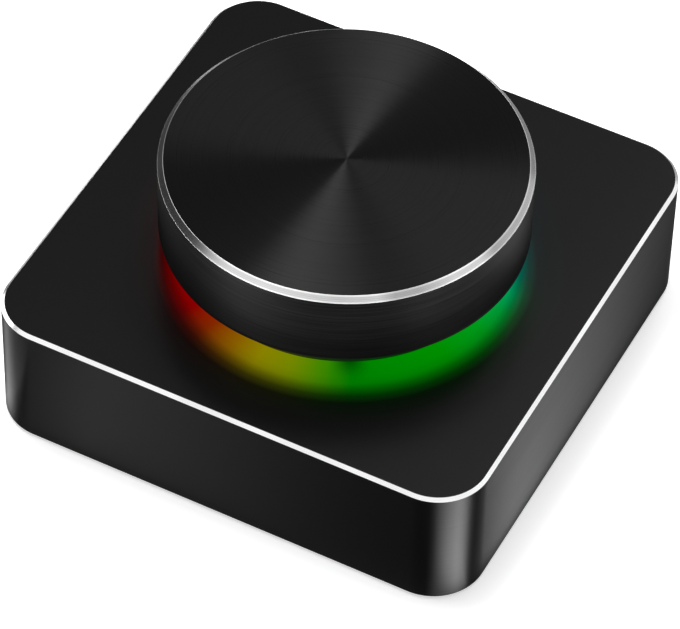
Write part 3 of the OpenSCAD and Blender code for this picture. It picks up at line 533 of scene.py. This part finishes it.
def foilSkin(name, colour):
    finish, here = newFinish(name, {"Metallic": 0.9})
    creases = here.node("ShaderNodeTexVoronoi", {"feature": "DISTANCE_TO_EDGE"},
                        {"Vector": here, "Scale": 160.0})
    crumple = noise(here, 420, 3)
    return feed(finish, {
        "Base Color": tinted(colour, 0.85 + 0.25 * crumple),
        "Roughness": 0.24 + 0.2 * crumple,
        "Normal": bump(crumple + fade(creases, 0.0, 0.12), 0.04 * mm, 0.5),
    })


def foamTape(name, colour):
    finish, here = newFinish(name, {"Specular IOR Level": 0.2})
    cells = here.node("ShaderNodeTexVoronoi", None, {"Vector": here, "Scale": 3200.0})
    return feed(finish, {
        "Base Color": tinted(colour, 0.8 + 0.3 * cells),
        "Roughness": 0.82 + 0.12 * cells,
        "Normal": bump(cells, 0.05 * mm, 0.8),
    })


def rubberPad(name, colour):
    finish, here = newFinish(name, {"Specular IOR Level": 0.35})
    pebbles = here.node("ShaderNodeTexVoronoi", {"feature": "SMOOTH_F1"}, {"Vector": here, "Scale": 1500.0})
    dust = noise(here, 140, 3)
    return feed(finish, {
        "Base Color": tinted(colour, 0.85 + 0.2 * pebbles + 0.5 * fade(dust, 0.52, 0.8)),
        "Roughness": 0.66 + 0.14 * pebbles + 0.1 * dust,
        "Normal": bump(1 - pebbles, 0.04 * mm, 0.7),
    })


slotFinishes = {
    "cover_black": moulded("coverBlack", (0.018, 0.018, 0.019), 0.55, 0.3, 0.02),
    "pad_rubber": rubberPad("padRubber", (0.014, 0.014, 0.014)),
    "screw_black": pressedMetal("screwBlack", (0.035, 0.035, 0.037), 0.34),
    "hub_plastic": moulded("hubPlastic", (0.03, 0.03, 0.032), 0.5),
    "spring_steel": pressedMetal("springSteel", (0.62, 0.62, 0.63), 0.25),
    "shaft_metal": pressedMetal("shaftMetal", (0.66, 0.66, 0.67), 0.22, (60, 60, 9000)),
    "rotor_plastic": moulded("rotorPlastic", (0.76, 0.72, 0.62), 0.42),
    "spring_brass": pressedMetal("springBrass", (0.72, 0.56, 0.28), 0.25),
    "encoder_plastic": moulded("encoderPlastic", (0.04, 0.07, 0.04), 0.5),
    "plated_steel": pressedMetal("platedSteel", (0.6, 0.6, 0.61), 0.26),
    "contact_metal": pressedMetal("contactMetal", (0.78, 0.6, 0.24), 0.2),
    "light_ring": milkyLight("lightMilk"),
    "board_green": boardMask("boardGreen", (0.02, 0.11, 0.06), (0.07, 0.22, 0.1)),
    "lamp_white": moulded("lampWhite", (0.88, 0.88, 0.82), 0.25, coat=0.3),
    "screw_steel": pressedMetal("screwSteel", (0.45, 0.45, 0.46), 0.3),
    "connector_black": moulded("connectorBlack", (0.012, 0.012, 0.013), 0.4),
    "chip_black": moulded("chipBlack", (0.02, 0.02, 0.021), 0.5, 0.15),
    "ceramic_white": moulded("ceramicWhite", (0.8, 0.8, 0.77), 0.3, coat=0.2),
    "capacitor_tan": moulded("capacitorTan", (0.48, 0.35, 0.2), 0.45),
    "button_black": moulded("buttonBlack", (0.02, 0.02, 0.021), 0.42, 0.2, 0.015),
    "cell_foil": foilSkin("cellFoil", (0.55, 0.56, 0.58)),
    "tape_foam": foamTape("tapeFoam", (0.78, 0.75, 0.67)),
    "board_amber": boardMask("boardAmber", (0.5, 0.3, 0.05), (0.6, 0.42, 0.14)),
    "connector_white": moulded("connectorWhite", (0.82, 0.8, 0.74), 0.4),
    "lead_red": moulded("leadRed", (0.45, 0.02, 0.015), 0.35),
    "lead_black": moulded("leadBlack", (0.015, 0.015, 0.016), 0.35),
}
nodeSlots = {row["node"]: row["material_slot"] for row in frame["record"]["subparts"]}
for node, slot in nodeSlots.items():
    finish = slotFinishes.get(slot, sideBlack)  # housing and knob, which are replaced below, aren't listed
    for place in nodes[node].material_slots:
        place.material = finish
print("inner finishes made:", len(slotFinishes))

creaseAngle = 20  # faces that meet at more degrees than this show an edge


def putPiece(name, bm, finishes, node, body):  # the finished mesh as a piece that stands for a node
    bm.normal_update()
    mesh = bpy.data.meshes.new(name)
    bm.to_mesh(mesh)
    bm.free()
    for finish in finishes:
        mesh.materials.append(finish)
    mesh.shade_smooth()
    mesh.set_sharp_from_angle(angle=math.radians(creaseAngle))
    piece = bpy.data.objects.new(name, mesh)
    bpy.context.collection.objects.link(piece)
    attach(piece, body)
    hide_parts(node)
    return piece


# Top housing
housing = {
    "corner": 6.2, "cornerSteps": 24, "edge": 0.38, "footEdge": 0.12,
    "rim": 1.2, "wall": 2.2, "coverThickness": 2.0, "deckThickness": 2.4,
    "openingRadius": 18.6, "openingSteps": 192,
    "rearHeight": 10.98,  # height of the openings in the rear face
    "socketWidth": 9.44, "socketHeight": 3.66,
    "slotAt": 13.035, "slotWidth": 8.6, "slotHeight": 2.8,
    "pocketWidth": 11.8, "pocketHeight": 5.2, "pocketDepth": 0.8,
    "cutDepth": 4, "cutPast": 1,  # how far a cutter goes in, past the wall, and stands out
    "endGap": 0.01, "endSteps": 12,  # the round ends of an opening don't quite meet
    "mouthEdge": 0.12, "mouthMargin": 2, "mouthAngle": 60,  # the eased mouths of these openings
}


def slab(low, high):
    bm = bmesh.new()
    middle, size = (low + high) / 2, high - low
    bmesh.ops.create_cube(bm, size=1, matrix=Matrix.Translation(middle) @ Matrix.Diagonal((*size, 1)))
    return bm


def edgesAlong(bm, axis):  # axis 0 is X, 1 is Y, 2 is Z
    return [e for e in bm.edges if abs((e.verts[0].co - e.verts[1].co).normalized()[axis]) > 0.99]


def roundEdges(bm, edges, width, steps):
    bmesh.ops.bevel(bm, geom=edges, offset=width, offset_type="OFFSET", segments=steps, profile=0.5,
                    affect="EDGES", clamp_overlap=True, material=-1)


def rearCutter(s, x, width, height, depth, roundEnds):  # makes an opening in the rear face
    rear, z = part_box("top_housing")[1].y / mm, s["rearHeight"]
    bm = slab(Vector((x - width / 2, rear - depth, z - height / 2)) * mm,
              Vector((x + width / 2, rear + s["cutPast"], z + height / 2)) * mm)
    if roundEnds:
        roundEdges(bm, edgesAlong(bm, 1), (height / 2 - s["endGap"]) * mm, s["endSteps"])
    return bm


def cutAway(bm, cutters):  # Boolean differences, one after another
    def asObject(name, made):
        mesh = bpy.data.meshes.new(name)
        made.to_mesh(mesh)
        made.free()
        return bpy.data.objects.new(name, mesh)

    blank = asObject("blank", bm)
    bpy.context.collection.objects.link(blank)
    tools = []
    for i, cutter in enumerate(cutters):
        tool = asObject("cutter%d" % i, cutter)
        bpy.context.collection.objects.link(tool)
        step = blank.modifiers.new("cut%d" % i, "BOOLEAN")
        step.operation, step.solver, step.object = "DIFFERENCE", "EXACT", tool
        tools.append(tool)
    done = bpy.data.meshes.new_from_object(blank.evaluated_get(bpy.context.evaluated_depsgraph_get()))
    out = bmesh.new()
    out.from_mesh(done)
    for part in [blank] + tools:
        mesh = part.data
        bpy.data.objects.remove(part)
        bpy.data.meshes.remove(mesh)
    bpy.data.meshes.remove(done)
    return out


def deepen(bm, face, inset, depth):  # insets a face, then pushes it in
    bmesh.ops.inset_region(bm, faces=[face], thickness=inset, use_even_offset=True)
    pushed = bmesh.ops.extrude_face_region(bm, geom=[face])
    points = [v for v in pushed["geom"] if isinstance(v, bmesh.types.BMVert)]
    bmesh.ops.translate(bm, verts=points, vec=(0, 0, depth))
    if face.is_valid:
        bmesh.ops.delete(bm, geom=[face], context="FACES_ONLY")
    return next(f for f in pushed["geom"] if isinstance(f, bmesh.types.BMFace))


def makeHousing(s):
    low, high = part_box("top_housing")
    bm = slab(low, high)
    roundEdges(bm, edgesAlong(bm, 2), s["corner"] * mm, s["cornerSteps"])
    top = max(bm.faces, key=lambda f: f.calc_center_median().z)
    roundEdges(bm, list(top.edges), s["edge"] * mm, 1)
    foot = min(bm.faces, key=lambda f: f.calc_center_median().z)
    roundEdges(bm, list(foot.edges), s["footEdge"] * mm, 2)
    foot = min(bm.faces, key=lambda f: f.calc_center_median().z)
    # The cover's seat, then the hollow
    foot = deepen(bm, foot, (s["rim"] - s["footEdge"]) * mm, s["coverThickness"] * mm)
    deepen(bm, foot, (s["wall"] - s["rim"]) * mm,
           high.z - low.z - (s["coverThickness"] + s["deckThickness"]) * mm)
    bmesh.ops.recalc_face_normals(bm, faces=bm.faces)

    opening, radius = bmesh.new(), s["openingRadius"] * mm
    bmesh.ops.create_cone(opening, cap_ends=True, segments=s["openingSteps"],
                          radius1=radius, radius2=radius, depth=4 * s["deckThickness"] * mm,
                          matrix=Matrix.Translation((0, 0, high.z)))
    bm = cutAway(bm, [
        opening,
        rearCutter(s, 0, s["socketWidth"], s["socketHeight"], s["cutDepth"], True),
        rearCutter(s, s["slotAt"], s["pocketWidth"], s["pocketHeight"], s["pocketDepth"], True),
        rearCutter(s, s["slotAt"], s["slotWidth"], s["slotHeight"], s["cutDepth"], False),
    ])
    bm.normal_update()
    mouths, margin = [], s["mouthMargin"] * mm
    for edge in bm.edges:
        atRear = all(v.co.y > high.y - tiny for v in edge.verts)
        between = all(low.z + margin < v.co.z < high.z - margin for v in edge.verts)
        if atRear and between and edge.calc_face_angle(0) > math.radians(s["mouthAngle"]):
            mouths.append(edge)
    roundEdges(bm, mouths, s["mouthEdge"] * mm, 2)
    cutLow = high.z - s["edge"] * mm
    for face in bm.faces:
        z = face.calc_center_median().z
        face.material_index = 1 if z > high.z - tiny else 2 if z > cutLow else 0
    putPiece("topHousing", bm, [sideBlack, deckBlack, deckCut], "top_housing", "base")


makeHousing(housing)
print("housing built")

# Knob cap
knob = {
    "radius": 21.05, "edge": 0.63, "footEdge": 0.2, "cavityRadius": 18.65, "ceiling": 27.4, "steps": 256,
    # The two rims of the cut edge: eased in the shape and rougher, and painted brighter as painted highlight lines
    "rimWidth": 0.16, "rimPaintedHighlight": 0.32, "rimEasing": 0.02, "rimRoughness": 0.5,
    "cutTones": [  # angle in degrees, tone of the cut edge, with painted highlights and painted darker reflections around the knob
        (-180, 0.45), (-158, 0.33), (-144, 0.44), (-130, 0.52), (-112, 0.46), (-100, 0.7), (-88, 0.73),
        (-76, 0.64), (-64, 0.55), (-53, 0.61), (-48, 0.4), (-40, 0.4), (-28, 0.66), (-18, 0.64),
        (-11, 0.36), (-4, 0.41), (20, 0.42), (60, 0.6), (95, 0.7), (120, 0.5), (180, 0.45),
    ],
}


def makeKnobCut(s):
    finish, here = newFinish("knobCut", {"Metallic": 1.0, "Anisotropic": 0.4})
    radius = axisRadius(here)
    lines = noiseAlong(radius, 14, 2)
    half = s["edge"] / 2
    offMiddle = here.maths("ABSOLUTE", radius - (s["radius"] - half))
    # painted highlight: a bright line along each rim of the cut edge
    rim = fade(offMiddle, half - s["rimWidth"], half - s["rimWidth"] / 2)
    eased = fade(offMiddle, half - s["rimEasing"], half - s["rimEasing"] / 2)
    # painted highlights and reflections: the cut edge's tone is painted lighter and darker by angle
    tone = rampAlong(turnAround(here), s["cutTones"])
    return feed(finish, {
        "Base Color": grey(tone * (0.92 + 0.16 * lines + s["rimPaintedHighlight"] * rim)),
        "Roughness": 0.14 + 0.1 * lines + s["rimRoughness"] * eased,
    })


def makeKnob(s):
    low, high = (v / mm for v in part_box("knob_cap"))
    rim = s["rimEasing"]
    lean = rim * math.sqrt(0.5)
    inner, cutLow = s["radius"] - s["edge"], high.z - s["edge"]
    outline = [  # radius, height
        (0, high.z), (inner - rim, high.z), (inner + lean, high.z - lean),
        (s["radius"] - lean, cutLow + lean), (s["radius"], cutLow - rim),
        (s["radius"], low.z + s["footEdge"]), (s["radius"] - s["footEdge"], low.z),
        (s["cavityRadius"], low.z), (s["cavityRadius"], s["ceiling"]), (0, s["ceiling"]),
    ]
    bm = bmesh.new()
    points = [bm.verts.new((r * mm, 0, z * mm)) for r, z in outline]
    for band in [bm.edges.new(pair) for pair in zip(points, points[1:])]:
        bmesh.ops.spin(bm, geom=[band, *band.verts], axis=(0, 0, 1), cent=(0, 0, 0),
                       angle=2 * math.pi, steps=s["steps"], use_merge=True)
    bmesh.ops.remove_doubles(bm, verts=bm.verts, dist=mergeGap)
    bmesh.ops.recalc_face_normals(bm, faces=bm.faces)
    for face in bm.faces:
        z = face.calc_center_median().z / mm
        face.material_index = 0 if z > high.z - tiny / mm else 1 if z > cutLow - rim else 2
    putPiece("knobCap", bm, [spunFace, makeKnobCut(s), turnedSide], "knob_cap", "knob")


makeKnob(knob)
print("knob built")

# Moulded and pressed pieces whose edges are eased
easing = {
    "flatAngle": 1, "cornerAngle": 35, "steps": 2,  # degrees: faces that are one, edges that are eased
    "pieces": {  # node: name of the piece, body, width of the easing in millimetres
        "bottom_cover": ("bottomCover", "base", 0.12),
        "grip_pad": ("gripPad", "base", 0.18),
        "light_guide": ("lightRing", "base", 0.1),
        "usb_shell": ("socketShell", "base", 0.08),
        "usb_tongue": ("socketTongue", "base", 0.06),
        "switch_button": ("switchButton", "mode_slider", 0.1),
    },
}


def makeEased(s, node, name, body, width):
    bm = bmesh.new()
    bm.from_mesh(nodes[node].data)
    bmesh.ops.remove_doubles(bm, verts=bm.verts, dist=mergeGap)
    bmesh.ops.dissolve_limit(bm, angle_limit=math.radians(s["flatAngle"]), verts=bm.verts, edges=bm.edges)
    bm.normal_update()
    corner = math.radians(s["cornerAngle"])
    edges = [e for e in bm.edges if e.is_manifold and e.calc_face_angle() > corner]
    roundEdges(bm, edges, width * mm, s["steps"])
    putPiece(name, bm, [slotFinishes[nodeSlots[node]]], node, body)


for node, (name, body, width) in easing["pieces"].items():
    makeEased(easing, node, name, body, width)
print("eased pieces built:", len(easing["pieces"]))

# Snap dome under the plunger
snapDome = {"node": "snap_dome", "joint": "knob_press"}


def makeSnapDome(s):
    bm = bmesh.new()
    bm.from_mesh(nodes[s["node"]].data)
    bmesh.ops.remove_doubles(bm, verts=bm.verts, dist=mergeGap)
    piece = putPiece("snapDome", bm, [slotFinishes[nodeSlots[s["node"]]]], s["node"], "base")
    low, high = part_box(s["node"])
    travel = next(joint["range_m"][1] for joint in frame["joints"] if joint["name"] == s["joint"])
    1 - travel / (high.z - low.z)
    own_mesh(piece)


makeSnapDome(snapDome)
print("snap dome built")
